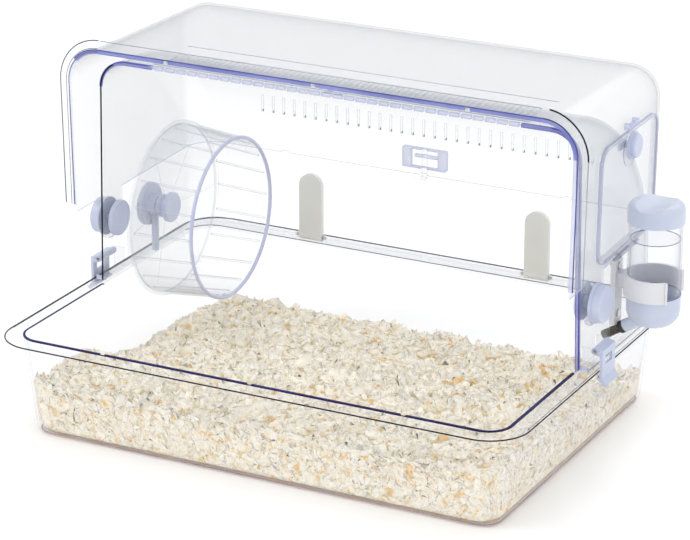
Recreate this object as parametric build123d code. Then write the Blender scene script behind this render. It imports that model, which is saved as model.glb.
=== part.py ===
"""Clear hamster cage: deep tray, rear hood with a quarter-round back, swing-over front cover.

Frame: origin at the centre of the tray's underside, +Z up, the open front faces -Y.
The cover is drawn swung open over the hood, parked against its stop. Millimetres.
"""
from build123d import *
import os
from math import atan2, cos, degrees, radians, sin

os.makedirs("parts", exist_ok=True)

# --- tray -------------------------------------------------------------------
TRAY_HEIGHT = 85.0
RIM_LENGTH, RIM_DEPTH, RIM_CORNER = 470.0, 353.0, 35.0
RIM_WIDTH, RIM_THICK, LIP_DROP = 15.3, 2.0, 4.0
TRAY_WALL = 2.2
TRAY_INSET = 6.9              # how far each wall leans in from rim to floor
TRAY_CORNER = RIM_CORNER - RIM_WIDTH
FOOT_RADIUS = 8.0
BEAD_WIDTH, BEAD_HEIGHT = 2.4, 1.2
NOTCH_X = (-135.6, 0.0, 135.6)  # locating notches shared by the tray and the cover
NOTCH_WIDTH = 4.6

# --- hood -------------------------------------------------------------------
PIVOT_Y, PIVOT_Z = 2.0, TRAY_HEIGHT + 54.0
ROLL_RADIUS = 146.0           # quarter-round back, centred on the cover's pivot
HOOD_FRONT_Y = -19.0
HOOD_HALF_FOOT, HOOD_HALF_TOP = 220.8, 217.1
HOOD_WALL = 2.0
HOOD_EDGE_RADIUS = 23.5
HOOD_TOP_Z = PIVOT_Z + ROLL_RADIUS
HOOD_BACK_Y = PIVOT_Y + ROLL_RADIUS
FLANGE_THICK, FLANGE_HALF, FLANGE_BACK_Y = 2.0, 229.5, 170.0
FLANGE_TOP_Z = TRAY_HEIGHT + FLANGE_THICK

# --- front cover, drawn open --------------------------------------------------
COVER_FRONT_Y, COVER_BACK_Y = -49.4, 154.5
COVER_TOP_FRONT_Z, COVER_TOP_BACK_Z = TRAY_HEIGHT + 217.8, TRAY_HEIGHT + 214.5
COVER_LOW_FRONT_Z, COVER_LOW_BACK_Z = TRAY_HEIGHT + 74.0, TRAY_HEIGHT + 80.0
COVER_HALF = 228.4
COVER_TAPER_Y, COVER_TAPER_Z = 0.0191, 0.0142
COVER_WALL = 2.0
COVER_EDGE_RADIUS = 28.0
COVER_FLANGE_HALF, COVER_FLANGE_TOP_Z = 238.0, TRAY_HEIGHT + 227.0
COVER_FLANGE_RADIUS = 38.0
EAR_RADIUS = 19.0

# --- pivots, latches and clips --------------------------------------------------
PIN_RADIUS, RUNNING_FIT = 5.0, 0.06
KNOB_RADIUS = 15.5
LATCH_Y, LATCH_WIDTH = 4.0, 26.0
LATCH_PIN_X, LATCH_PIN_Z = 231.5, TRAY_HEIGHT + 17.0
SMALL_PIN_RADIUS = 1.25
CLIP_X, CLIP_WIDTH, CLIP_THICK, CLIP_TOP_Z = 109.0, 22.2, 4.5, TRAY_HEIGHT + 64.5
CLIP_PIN_Y, CLIP_PIN_Z, CLIP_BARREL = HOOD_BACK_Y + 4.6, TRAY_HEIGHT + 6.2, 3.4

# --- wheel ----------------------------------------------------------------------
WHEEL_Y, WHEEL_Z = 53.0, TRAY_HEIGHT + 51.0
WHEEL_BACK_X, WHEEL_FRONT_X = -191.0, -134.0
WHEEL_BACK_RADIUS, WHEEL_FRONT_RADIUS = 77.0, 71.5
HUB_X = WHEEL_BACK_X - 8.0      # the back disc is dished, so the hub sits behind the drum
WHEEL_WALL = 1.6
RUNG_COUNT, RUNG_RADIUS = 20, 1.1
AXLE_RADIUS = 4.0

# --- water bottle ------------------------------------------------------------------
BOTTLE_X, BOTTLE_Y, BOTTLE_RADIUS, BOTTLE_WALL = 256.0, 52.0, 22.0, 1.4
BASE_LOW_Z, BASE_TOP_Z = TRAY_HEIGHT + 23.5, TRAY_HEIGHT + 50.5
WATER_Z, CAP_LOW_Z, CAP_TOP_Z = TRAY_HEIGHT + 98.0, TRAY_HEIGHT + 112.0, TRAY_HEIGHT + 129.0
STRAP_LOW_Z, STRAP_HEIGHT, STRAP_THICK, STRAP_GAP_DEG = BASE_TOP_Z - 1.0, 18.0, 2.5, 92.0
TUBE_RADIUS, TUBE_BORE, TUBE_LENGTH, TUBE_SLOPE_DEG = 3.8, 2.9, 27.0, 31.6
BRACKET_SCREW_Z = (TRAY_HEIGHT + 28.0, TRAY_HEIGHT + 69.3)
TUBE_END = Vector(213.7, BOTTLE_Y, TRAY_HEIGHT + 6.7)
BALL_RADIUS = 2.6
SPOUT_START, SEAL_START = 21.5, 17.2   # along the tube's axis, from its open end

# --- side door on the cover's right wall ----------------------------------------------
DOOR_Y, DOOR_Z = 61.0, TRAY_HEIGHT + 132.5
DOOR_LENGTH, DOOR_HEIGHT, DOOR_CORNER, DOOR_THICK = 123.0, 99.0, 15.0, 1.8
DOOR_GAP = 0.4
KNOB_RISE = 37.0              # height of the turn knob above the door's centre
CAM_REACH, CAM_GAP = 11.0, 0.4  # the knob's cam turns up behind the wall to lock the door


def box(x0, x1, y0, y1, z0, z1):
    """Box between two corners."""
    return Pos((x0 + x1) / 2, (y0 + y1) / 2, (z0 + z1) / 2) * Box(x1 - x0, y1 - y0, z1 - z0)


def rod_x(radius, x0, x1, y, z):
    """Cylinder along X."""
    return Pos((x0 + x1) / 2, y, z) * Rot(0, 90, 0) * Cylinder(radius, abs(x1 - x0))


def rod_y(radius, y0, y1, x, z):
    """Cylinder along Y."""
    return Pos(x, (y0 + y1) / 2, z) * Rot(90, 0, 0) * Cylinder(radius, abs(y1 - y0))


def rod_z(radius, z0, z1, x, y):
    """Cylinder along Z."""
    return Pos(x, y, (z0 + z1) / 2) * Cylinder(radius, z1 - z0)


def slab(length, depth, corner, z0, z1):
    """Rounded rectangular slab centred on Z."""
    return extrude(Pos(0, 0, z0) * RectangleRounded(length, depth, corner), z1 - z0)


def mirrored(shape):
    """The same piece on the other side of the cage."""
    return mirror(shape, Plane.YZ)


# --- tray and bedding -----------------------------------------------------------------
def tub(grow, z0, z1):
    """Leaning-walled tub shape between two heights, grown outward by grow."""
    sections = []
    for z in (z0, z1):
        lean = TRAY_INSET * (1 - z / TRAY_HEIGHT)
        half_x = RIM_LENGTH / 2 - RIM_WIDTH - lean + grow
        half_y = RIM_DEPTH / 2 - RIM_WIDTH - lean + grow
        sections.append(Pos(0, 0, z) * RectangleRounded(2 * half_x, 2 * half_y, TRAY_CORNER + grow))
    return loft(sections)


def lowest_edges(shape):
    """Edges of the shape's lowest flat face."""
    return shape.faces().sort_by(Axis.Z)[0].edges()


def make_tray():
    """Tub with a flat rim, a turned-down lip and a notched bead along the open front."""
    outside = tub(0, 0, TRAY_HEIGHT)
    outside = fillet(lowest_edges(outside), FOOT_RADIUS)
    inside = tub(-TRAY_WALL, TRAY_WALL, TRAY_HEIGHT + 2)
    inside = fillet(lowest_edges(inside), FOOT_RADIUS - TRAY_WALL)
    rim = slab(RIM_LENGTH, RIM_DEPTH, RIM_CORNER, TRAY_HEIGHT - RIM_THICK, TRAY_HEIGHT)
    lip = slab(RIM_LENGTH, RIM_DEPTH, RIM_CORNER, TRAY_HEIGHT - LIP_DROP, TRAY_HEIGHT)
    lip -= slab(RIM_LENGTH - 4, RIM_DEPTH - 4, RIM_CORNER - 2, 0, TRAY_HEIGHT + 1)
    opening = 2 * (RIM_WIDTH + TRAY_WALL - BEAD_WIDTH)
    bead = slab(RIM_LENGTH - opening, RIM_DEPTH - opening, TRAY_CORNER + 1, TRAY_HEIGHT - 1,
                TRAY_HEIGHT + BEAD_HEIGHT)
    bead &= box(-RIM_LENGTH, RIM_LENGTH, -RIM_DEPTH, HOOD_FRONT_Y - 3, 0, 2 * TRAY_HEIGHT)
    front = -RIM_DEPTH / 2 + RIM_WIDTH
    for x in NOTCH_X:
        bead -= box(x - NOTCH_WIDTH / 2, x + NOTCH_WIDTH / 2, front - 4, front + 4,
                    TRAY_HEIGHT, TRAY_HEIGHT + 2)
    return outside + rim + lip + bead - inside


def make_bedding():
    """Layer of loose paper flakes, heaped towards the middle of the open front."""
    block = tub(-TRAY_WALL - 0.2, TRAY_WALL + 0.1, 60)
    block = fillet(lowest_edges(block), FOOT_RADIUS - TRAY_WALL)
    heap = Pos(20, -45, 50 - 800) * Sphere(800)
    level = Pos(0, 0, 37 - 100) * Rot(-2, 0, 0) * Box(600, 600, 200)
    return block & (level + heap)


# --- hood -----------------------------------------------------------------------------
def hood_block(inset, y_front, z_low):
    """Solid shape of the hood, every surface drawn in by inset."""
    r = ROLL_RADIUS - inset
    outline = [
        Line((y_front, z_low), (y_front, PIVOT_Z + r)),
        Line((y_front, PIVOT_Z + r), (PIVOT_Y, PIVOT_Z + r)),
        CenterArc((PIVOT_Y, PIVOT_Z), r, 0, 90),
        Line((PIVOT_Y + r, PIVOT_Z), (PIVOT_Y + r, z_low)),
        Line((PIVOT_Y + r, z_low), (y_front, z_low)),
    ]
    side = extrude(Plane.YZ * make_face(outline), 260, both=True)
    lean = (HOOD_HALF_FOOT - HOOD_HALF_TOP) / (HOOD_TOP_Z - TRAY_HEIGHT)
    foot = HOOD_HALF_FOOT - inset + lean * (TRAY_HEIGHT - z_low)
    top = HOOD_HALF_TOP - inset - lean * 20
    high = HOOD_TOP_Z + 20
    arch = make_face(Polyline((-foot, z_low), (-top, high), (top, high), (foot, z_low), close=True))
    block = side & extrude(Plane.XZ * arch, 300, both=True)
    rounded = [e for e in block.edges()
               if abs(e.center().X) > 150 and e.center().Y > y_front + 0.5
               and e.center().Z > z_low + 0.5]
    return fillet(rounded, HOOD_EDGE_RADIUS - inset)


def hood_flange():
    """Foot flange that sits on the tray's rim along both sides and the back."""
    plate = box(-FLANGE_HALF, FLANGE_HALF, HOOD_FRONT_Y, FLANGE_BACK_Y, TRAY_HEIGHT, FLANGE_TOP_Z)
    corners = plate.edges().filter_by(Axis.Z).group_by(Axis.Y)[-1]
    plate = fillet(corners, 26)
    for x in NOTCH_X:
        plate -= box(x - 4, x + 4, 158, 161, TRAY_HEIGHT - 1, FLANGE_TOP_Z + 1)
    return plate


def latch_ears():
    """Two ears that carry the right side latch's pin."""
    ears = None
    for y in (LATCH_Y - LATCH_WIDTH / 2 - 2.9, LATCH_Y + LATCH_WIDTH / 2 + 0.5):
        ear = box(219.8, LATCH_PIN_X, y, y + 2.4, TRAY_HEIGHT + 0.5, LATCH_PIN_Z + 3)
        ear += rod_y(3, y, y + 2.4, LATCH_PIN_X, LATCH_PIN_Z)
        ear -= rod_y(SMALL_PIN_RADIUS, y - 1, y + 4, LATCH_PIN_X, LATCH_PIN_Z)
        ears = ear if ears is None else ears + ear
    return ears


def clip_ears(x_centre):
    """Two ears on the back flange that carry one rear clip's pin."""
    ears = None
    for x in (x_centre - CLIP_WIDTH / 2 - 2.9, x_centre + CLIP_WIDTH / 2 + 0.5):
        ear = box(x, x + 2.4, HOOD_BACK_Y - 1, CLIP_PIN_Y, TRAY_HEIGHT + 0.5, CLIP_PIN_Z + 3)
        ear += rod_x(3, x, x + 2.4, CLIP_PIN_Y, CLIP_PIN_Z)
        ear += box(x, x + 2.4, CLIP_PIN_Y - 3, CLIP_PIN_Y + 3, TRAY_HEIGHT + 0.5, CLIP_PIN_Z)
        ear -= rod_x(SMALL_PIN_RADIUS, x - 1, x + 4, CLIP_PIN_Y, CLIP_PIN_Z)
        ears = ear if ears is None else ears + ear
    return ears


def hood_vents():
    """Row of slots across the top, just behind the front edge."""
    count, pitch = 61, 5.5
    return [box(i * pitch - 1, i * pitch + 1, 3, 27, HOOD_TOP_Z - 10, HOOD_TOP_Z + 5)
            for i in range(-(count // 2), count // 2 + 1)]


def hood_comb():
    """Gaps that split the front edge's top into a row of small tabs."""
    count, pitch = 33, 10.4
    return [box(i * pitch - 1.1, i * pitch + 1.1, HOOD_FRONT_Y - 1, HOOD_FRONT_Y + 3.4,
                HOOD_TOP_Z - 5, HOOD_TOP_Z + 3)
            for i in range(-(count // 2), count // 2 + 1)]


def make_hood():
    """Clear shell over the rear of the tray, open at the front and below."""
    outside = hood_block(0, HOOD_FRONT_Y, TRAY_HEIGHT)
    inside = hood_block(HOOD_WALL, HOOD_FRONT_Y - 6, TRAY_HEIGHT - 20)
    raised = hood_block(-BEAD_HEIGHT, HOOD_FRONT_Y, TRAY_HEIGHT)
    bead = raised & box(-260, 260, HOOD_FRONT_Y, HOOD_FRONT_Y + 3.2, FLANGE_TOP_Z, 400)
    vent_frame = box(-171, 171, -11, 49, 240, 400) - box(-169.2, 169.2, -9.2, 47.2, 230, 410)
    vent_frame &= hood_block(-0.7, HOOD_FRONT_Y, TRAY_HEIGHT)
    right_ears = latch_ears()
    hood = outside + hood_flange() + bead + vent_frame + right_ears + mirrored(right_ears)
    hood += clip_ears(-CLIP_X)
    hood += clip_ears(CLIP_X)
    hood -= inside
    hood -= hood_vents()
    hood -= hood_comb()
    hood -= rod_x(PIN_RADIUS, -240, 240, PIVOT_Y, PIVOT_Z)
    hood -= rod_x(5, -240, -200, WHEEL_Y, WHEEL_Z)
    return hood - tube_solid(TUBE_RADIUS + 0.5, 0, TUBE_LENGTH)


def make_keeper():
    """Small block on the hood's front edge with a T-shaped channel for the cover's bolt."""
    y, z = HOOD_FRONT_Y, HOOD_TOP_Z
    block = box(-8.4, 8.4, y + 3.4, y + 8, z, z + 5.8) + box(-8.4, 8.4, y, y + 4, z + 3.8, z + 5.8)
    block = fillet(block.edges().filter_by(Axis.X).group_by(Axis.Z)[-1], 0.8)
    block -= box(-6.8, 6.8, y - 1, y + 6.8, z + 1.4, z + 3.8)
    return block - box(-3.2, 3.2, y - 1, y + 6.8, z + 1.4, z + 7)


def make_corner_feet():
    """Wedge-shaped pads at the front feet of the hood, one on each side."""
    front, back = HOOD_FRONT_Y + 2.2, HOOD_FRONT_Y + 6.7
    wedge = make_face(Polyline((front, FLANGE_TOP_Z), (back, FLANGE_TOP_Z),
                               (back, FLANGE_TOP_Z + 1), (front, FLANGE_TOP_Z + 4), close=True))
    right = Pos(222.4, 0, 0) * extrude(Plane.YZ * wedge, 6)
    return Compound([right, mirrored(right)])


# --- pivots ----------------------------------------------------------------------------
def make_pivot_pin():
    """Right pivot pin with its flat head inside the hood."""
    head = rod_x(KNOB_RADIUS, 213.4, 217.1, PIVOT_Y, PIVOT_Z)
    head = fillet(head.edges().group_by(Axis.X)[0], 1.2)
    return head + rod_x(PIN_RADIUS, 217.1, 232, PIVOT_Y, PIVOT_Z)


def make_pivot_cap():
    """Right outer cap: a thin flange behind a thick round knob."""
    cap = rod_x(KNOB_RADIUS + 1.2, 226.2, 228.8, PIVOT_Y, PIVOT_Z)
    knob = rod_x(KNOB_RADIUS, 228.8, 236, PIVOT_Y, PIVOT_Z)
    knob = fillet(knob.edges().group_by(Axis.X)[-1], 1.6)
    return cap + knob - rod_x(PIN_RADIUS, 220, 232, PIVOT_Y, PIVOT_Z)


# --- front cover --------------------------------------------------------------------------
def low_edge(y, drop):
    """Height of the open cover's lower edge at depth y, dropped by drop."""
    share = (y - COVER_FRONT_Y) / (COVER_BACK_Y - COVER_FRONT_Y)
    return COVER_LOW_FRONT_Z + share * (COVER_LOW_BACK_Z - COVER_LOW_FRONT_Z) - drop


def cover_section(y, inset, drop):
    """Four-sided cross-section of the open cover at depth y, its lower edge dropped by drop."""
    share = (y - COVER_FRONT_Y) / (COVER_BACK_Y - COVER_FRONT_Y)
    top = COVER_TOP_FRONT_Z + share * (COVER_TOP_BACK_Z - COVER_TOP_FRONT_Z) - inset
    low = low_edge(y, drop)
    wide = COVER_HALF - COVER_TAPER_Y * (y - COVER_FRONT_Y) - inset
    narrow = wide - COVER_TAPER_Z * (top - low)
    frame = Plane(origin=(0, y, 0), x_dir=(1, 0, 0), z_dir=(0, -1, 0))
    return frame * make_face(Polyline((-narrow, low), (-wide, top), (wide, top), (narrow, low),
                                      close=True))


def cover_block(inset, y_front, drop):
    """Solid shape of the open cover, every surface drawn in by inset."""
    y_back = COVER_BACK_Y - inset
    ends = [cover_section(y_front, inset, drop), cover_section(y_back, inset, drop)]
    block = loft(ends, ruled=True)
    rounded = [e for e in block.edges()
               if y_front + 1 < e.center().Y and e.center().Z > low_edge(y_back, drop) + 1]
    return fillet(rounded, COVER_EDGE_RADIUS - inset)


def cover_flange():
    """Flat arch-shaped flange round the cover's mouth, which meets the tray's rim when closed."""
    low = COVER_LOW_FRONT_Z + 6.5
    half_low = COVER_FLANGE_HALF - 2
    top = COVER_FLANGE_TOP_Z
    face = make_face(Polyline((-half_low, low), (-COVER_FLANGE_HALF, top), (COVER_FLANGE_HALF, top),
                              (half_low, low), close=True))
    plate = Pos(0, COVER_FRONT_Y, 0) * extrude(Plane.XZ * face, -2)
    corners = plate.edges().filter_by(Axis.Y).group_by(Axis.Z)[-1]
    return fillet(corners, COVER_FLANGE_RADIUS)


def ear_plates():
    """Round lugs that reach down from both side walls to the pivot pins."""
    outline = rod_x(EAR_RADIUS, -240, 240, PIVOT_Y, PIVOT_Z)
    outline += box(-240, 240, PIVOT_Y - EAR_RADIUS, PIVOT_Y + EAR_RADIUS, PIVOT_Z, COVER_LOW_BACK_Z)
    skin = cover_block(0, COVER_FRONT_Y, 60)
    return outline & skin


def cover_slits():
    """Row of upright breathing slits across the panel that hangs behind the hood."""
    count, pitch = 31, 10.5
    return [box(i * pitch - 0.9, i * pitch + 0.9, COVER_BACK_Y - 6, COVER_BACK_Y + 3,
                TRAY_HEIGHT + 115, TRAY_HEIGHT + 130)
            for i in range(-(count // 2), count // 2 + 1)]


def make_cover():
    """Clear cover: long panel on top, panel hanging behind, two side walls, flange at its mouth."""
    inside = cover_block(COVER_WALL, COVER_FRONT_Y - 20, 80)
    cover = cover_block(0, COVER_FRONT_Y, 0) + cover_flange() + ear_plates()
    bead = cover_block(-1.2, COVER_FRONT_Y - 1.2, 0)
    cover += bead & box(-260, 260, COVER_FRONT_Y - 1.2, COVER_FRONT_Y + 2,
                        COVER_LOW_FRONT_Z + 6.5, 400)
    cover -= inside
    for x in NOTCH_X:
        cover -= box(x - 2.3, x + 2.3, COVER_FRONT_Y - 3, COVER_FRONT_Y, 290, 308)
        cover -= box(x - 3.5, x + 3.5, COVER_BACK_Y - 4, COVER_BACK_Y + 2, 150, COVER_LOW_BACK_Z + 1.6)
    cover -= cover_slits()
    cover -= rod_x(PIN_RADIUS + RUNNING_FIT, -240, 240, PIVOT_Y, PIVOT_Z)
    cover -= DOOR_PLANE * Pos(0, 0, -2) * Box(DOOR_LENGTH - 10, DOOR_HEIGHT - 10, 16)
    return cover + cover_knuckles()


# --- side door, in the plane of the cover's right wall ---------------------------------------
def door_plane():
    """Plane on the right wall's outer face: x runs back, y runs up, z points outward."""
    fall = (COVER_TOP_FRONT_Z - COVER_TOP_BACK_Z) / (COVER_BACK_Y - COVER_FRONT_Y)
    lean = COVER_TAPER_Y - COVER_TAPER_Z * fall
    out = Vector(1, lean, -COVER_TAPER_Z).normalized()
    along = Vector(-lean, 1, 0).normalized()
    x = COVER_HALF - lean * (DOOR_Y - COVER_FRONT_Y) - COVER_TAPER_Z * (COVER_TOP_FRONT_Z - DOOR_Z)
    return Plane(origin=(x, DOOR_Y, DOOR_Z), x_dir=along, z_dir=out)


DOOR_PLANE = door_plane()
HINGE_DROP = DOOR_HEIGHT / 2 + 2.6   # the hinge axis lies this far below the door's centre
HINGE_OUT = 2.9                      # and this far outside the wall


def hinge_barrel(u0, u1, radius):
    """Length of hinge barrel along the door's lower edge."""
    return DOOR_PLANE * Pos((u0 + u1) / 2, -HINGE_DROP, HINGE_OUT) * Rot(0, 90, 0) * Cylinder(
        radius, u1 - u0)


def cover_knuckles():
    """Two outer hinge knuckles carried by the cover's wall."""
    knuckles = None
    for u in (-24.8, 17.2):
        piece = hinge_barrel(u, u + 7.6, 2.4)
        piece += DOOR_PLANE * Pos(u + 3.8, -HINGE_DROP, 1.2) * Box(7.6, 4.2, 3.4)
        piece -= hinge_barrel(u - 1, u + 9, 1.2)
        knuckles = piece if knuckles is None else knuckles + piece
    return knuckles


def make_door():
    """Flat door with a raised rim, a round boss for its knob and a centre hinge knuckle."""
    blank = extrude(RectangleRounded(DOOR_LENGTH, DOOR_HEIGHT, DOOR_CORNER), DOOR_THICK)
    blank += extrude(RectangleRounded(DOOR_LENGTH, DOOR_HEIGHT, DOOR_CORNER), DOOR_THICK + 0.9)
    blank -= Pos(0, 0, DOOR_THICK) * extrude(
        RectangleRounded(DOOR_LENGTH - 5, DOOR_HEIGHT - 5, DOOR_CORNER - 2.5), 5)
    blank += Pos(0, DOOR_HEIGHT / 2 - 15, 0) * extrude(Circle(15), DOOR_THICK + 0.9)
    door = DOOR_PLANE * Pos(0, 0, DOOR_GAP) * blank
    door += hinge_barrel(-16.6, 16.6, 2.4)
    door += DOOR_PLANE * Pos(0, -HINGE_DROP + 2.2, DOOR_GAP + 1.2) * Box(33.2, 3.6, 2.4)
    door -= hinge_barrel(-18, 18, 1.2 + RUNNING_FIT)
    return door - DOOR_PLANE * Pos(0, KNOB_RISE, 0) * Cylinder(3 + RUNNING_FIT, 20)


def make_hinge_pin():
    """Pin through the door's three knuckles."""
    return hinge_barrel(-25.6, 25.6, 1.2)


def make_door_knob():
    """Turn knob: two round steps, a stem and a locking cam behind the door."""
    foot = DOOR_GAP + DOOR_THICK + 0.9 + 0.3
    knob = Pos(0, KNOB_RISE, foot + 1.2) * Cylinder(11.5, 2.4)
    grip = extrude(Circle(9.8), 4.2)
    knob += Pos(0, KNOB_RISE, foot + 2.2) * fillet(grip.edges().group_by(Axis.Z)[-1], 1.5)
    back = -COVER_WALL - CAM_GAP
    knob += Pos(0, KNOB_RISE, (foot + 1 + back) / 2) * Cylinder(3, foot + 1 - back)
    knob += Pos(-CAM_REACH / 2, KNOB_RISE, back - 0.9) * Box(CAM_REACH, 6, 1.8)
    knob += Pos(0, KNOB_RISE, back - 0.9) * Cylinder(3.6, 1.8)
    return DOOR_PLANE * knob


def make_door_keeper():
    """Finger bar on the cover's wall above the door."""
    level = DOOR_HEIGHT / 2 + 5.0
    bridge = Pos(0, level, 4.6) * Box(20, 5, 1.6)
    for u in (-8.6, 8.6):
        bridge += Pos(u, level, 2.3) * Box(2.8, 5, 4.6)
    return DOOR_PLANE * bridge


# --- cover latch -----------------------------------------------------------------------------
LATCH_MID_Z = TRAY_HEIGHT + 94.0
FRAME_HALF, WINDOW_HALF, THUMB_HEIGHT = 9.2, 7.8, 2.8
BOLT_HALF = 2.5


def make_latch_frame():
    """Rectangular guide with an open window, fixed to the outside of the hanging panel."""
    y = COVER_BACK_Y
    frame = box(-21, 21, y, y + 4.6, LATCH_MID_Z - FRAME_HALF, LATCH_MID_Z + FRAME_HALF)
    frame = fillet(frame.edges().filter_by(Axis.Y), 1.2)
    frame -= box(-13, 13, y - 1, y + 6, LATCH_MID_Z - WINDOW_HALF, LATCH_MID_Z + WINDOW_HALF)
    channel = BOLT_HALF + 0.3
    return frame - box(-channel, channel, y - 1, y + 3.3, LATCH_MID_Z - 10, LATCH_MID_Z + 10)


def make_latch_bolt():
    """Sliding bolt with a thumb bar and a T-shaped foot that enters the keeper's channel."""
    y, low = COVER_BACK_Y, COVER_LOW_BACK_Z - 3.8
    shank = box(-BOLT_HALF, BOLT_HALF, y + 0.4, y + 3.1, low, LATCH_MID_Z + FRAME_HALF - 0.6)
    thumb_low = LATCH_MID_Z - 0.2
    thumb = box(-10.5, 10.5, y + 3.1, y + 6.6, thumb_low, thumb_low + THUMB_HEIGHT)
    thumb = fillet(thumb.edges().filter_by(Axis.X).group_by(Axis.Y)[-1], 1)
    web = box(-BOLT_HALF, BOLT_HALF, y - 4, y + 1, low, low + 3.2)
    return shank + thumb + web + box(-6.2, 6.2, y - 4.8, y - 3.0, low, low + 3.2)


# --- side latches and rear clips -----------------------------------------------------------------
def make_side_latch():
    """Right snap latch: barrel, windowed plate, hook under the rim's lip and a flared tongue."""
    y0, y1 = LATCH_Y - LATCH_WIDTH / 2, LATCH_Y + LATCH_WIDTH / 2
    low = TRAY_HEIGHT - LIP_DROP
    lip_x = RIM_LENGTH / 2
    outline = Polyline((LATCH_PIN_X - 0.5, LATCH_PIN_Z + 3), (lip_x + 3.4, LATCH_PIN_Z + 1),
                       (lip_x + 3.4, low - 1.0), (lip_x + 7.2, low - 6.8), (lip_x + 5.0, low - 8.2),
                       (lip_x + 1.2, low - 4.2), (lip_x - 1.4, low - 2.9), (lip_x - 1.4, low - 0.9),
                       (lip_x + 1.0, low - 0.9), (lip_x + 1.0, LATCH_PIN_Z - 4),
                       (LATCH_PIN_X - 0.5, LATCH_PIN_Z - 2.9), close=True)
    latch = Pos(0, y1, 0) * extrude(Plane.XZ * make_face(outline), y1 - y0)
    latch += rod_y(3, y0, y1, LATCH_PIN_X, LATCH_PIN_Z)
    latch -= box(lip_x - 3, lip_x + 9, LATCH_Y - 7, LATCH_Y + 7, LATCH_PIN_Z - 12, LATCH_PIN_Z - 4.5)
    return latch - rod_y(SMALL_PIN_RADIUS + RUNNING_FIT, y0 - 1, y1 + 1, LATCH_PIN_X, LATCH_PIN_Z)


def make_latch_pin():
    """Right side latch's pin."""
    half = LATCH_WIDTH / 2 + 3.2
    return rod_y(SMALL_PIN_RADIUS, LATCH_Y - half, LATCH_Y + half, LATCH_PIN_X, LATCH_PIN_Z)


def make_rear_clip(x):
    """Upright round-topped clip that swings back on a barrel at its foot."""
    r = CLIP_WIDTH / 2
    y = CLIP_PIN_Y - CLIP_THICK / 2
    plate = box(x - r, x + r, y, y + CLIP_THICK, CLIP_PIN_Z, CLIP_TOP_Z - r)
    plate += rod_y(r, y, y + CLIP_THICK, x, CLIP_TOP_Z - r)
    plate += rod_x(CLIP_BARREL, x - r, x + r, CLIP_PIN_Y, CLIP_PIN_Z)
    return plate - rod_x(SMALL_PIN_RADIUS + RUNNING_FIT, x - r - 1, x + r + 1, CLIP_PIN_Y, CLIP_PIN_Z)


def make_clip_pins():
    """Pins of the two rear clips."""
    half = CLIP_WIDTH / 2 + 3.2
    return Compound([rod_x(SMALL_PIN_RADIUS, x - half, x + half, CLIP_PIN_Y, CLIP_PIN_Z)
                     for x in (-CLIP_X, CLIP_X)])


# --- wheel ------------------------------------------------------------------------------------------
def wheel_radius(x):
    """Outer radius of the drum at x."""
    share = (x - WHEEL_BACK_X) / (WHEEL_FRONT_X - WHEEL_BACK_X)
    return WHEEL_BACK_RADIUS - 1.5 + share * (WHEEL_FRONT_RADIUS - WHEEL_BACK_RADIUS)


def turned(points):
    """Ring turned about the wheel's axis from (x, radius) points."""
    face = make_face(Polyline(*points, close=True))
    return Pos(0, WHEEL_Y, WHEEL_Z) * revolve(face, Axis.X)


def wheel_rungs():
    """Round-nosed rungs along the drum's inner face."""
    x0, x1 = WHEEL_BACK_X + 3, WHEEL_FRONT_X - 3
    r0, r1 = wheel_radius(x0) - WHEEL_WALL, wheel_radius(x1) - WHEEL_WALL
    slope = degrees(atan2(r0 - r1, x1 - x0))
    rung = Pos((x0 + x1) / 2, 0, (r0 + r1) / 2 - RUNG_RADIUS * 0.5) * Rot(0, 90 + slope, 0) * Cylinder(
        RUNG_RADIUS, x1 - x0)
    hub = Pos(0, WHEEL_Y, WHEEL_Z)
    return [hub * Rot(360 * i / RUNG_COUNT, 0, 0) * rung for i in range(RUNG_COUNT)]


def make_wheel_drum():
    """Tapered running drum with moulded rungs and a rolled edge where it joins the back disc."""
    x0, x1 = WHEEL_BACK_X, WHEEL_FRONT_X - 1.6
    r0, r1 = wheel_radius(x0), wheel_radius(x1)
    drum = turned([(x0, r0), (x1, r1), (x1, r1 - WHEEL_WALL), (x0, r0 - WHEEL_WALL)])
    drum += turned([(x0 - 1.5, r0 - 2), (x0 - 1.5, r0 + 1.5), (x0 + 1.5, r0 + 1.5),
                    (x0 + 1.5, r0 - 2)])
    return drum + wheel_rungs()


def make_wheel_ring():
    """Rounded ring round the drum's open mouth."""
    centre = Pos(WHEEL_FRONT_X, WHEEL_Y, WHEEL_Z)
    return centre * Rot(0, 90, 0) * Torus(WHEEL_FRONT_RADIUS - 1.8, 1.6)


def make_wheel_disc():
    """Dished back disc of the wheel with six raised ribs."""
    x = WHEEL_BACK_X
    r = wheel_radius(x) - 2.05
    disc = turned([(HUB_X - 0.8, 9.9), (x - 0.8, r), (x + 0.8, r), (HUB_X + 0.8, 9.9)])
    outline = make_face(Polyline((HUB_X + 0.7, 12), (x - 0.1, r - 6), (x + 1.6, r - 6),
                                 (HUB_X + 2.4, 12), close=True))
    rib = extrude(Plane.XZ * outline, 1, both=True)
    hub = Pos(0, WHEEL_Y, WHEEL_Z)
    return disc + [hub * Rot(60 * i + 30, 0, 0) * rib for i in range(6)]


def make_wheel_hub():
    """Hub in the middle of the back disc."""
    return turned([(HUB_X - 5, 6.1), (HUB_X - 5, 9.9), (HUB_X + 2.6, 9.9), (HUB_X + 2.6, 6.1)])


def make_wheel_bush():
    """Bearing bush between the hub and the axle."""
    inner = AXLE_RADIUS + RUNNING_FIT
    return turned([(HUB_X - 5.4, inner), (HUB_X - 5.4, 6.1), (HUB_X + 3.0, 6.1), (HUB_X + 3.0, inner)])


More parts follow.
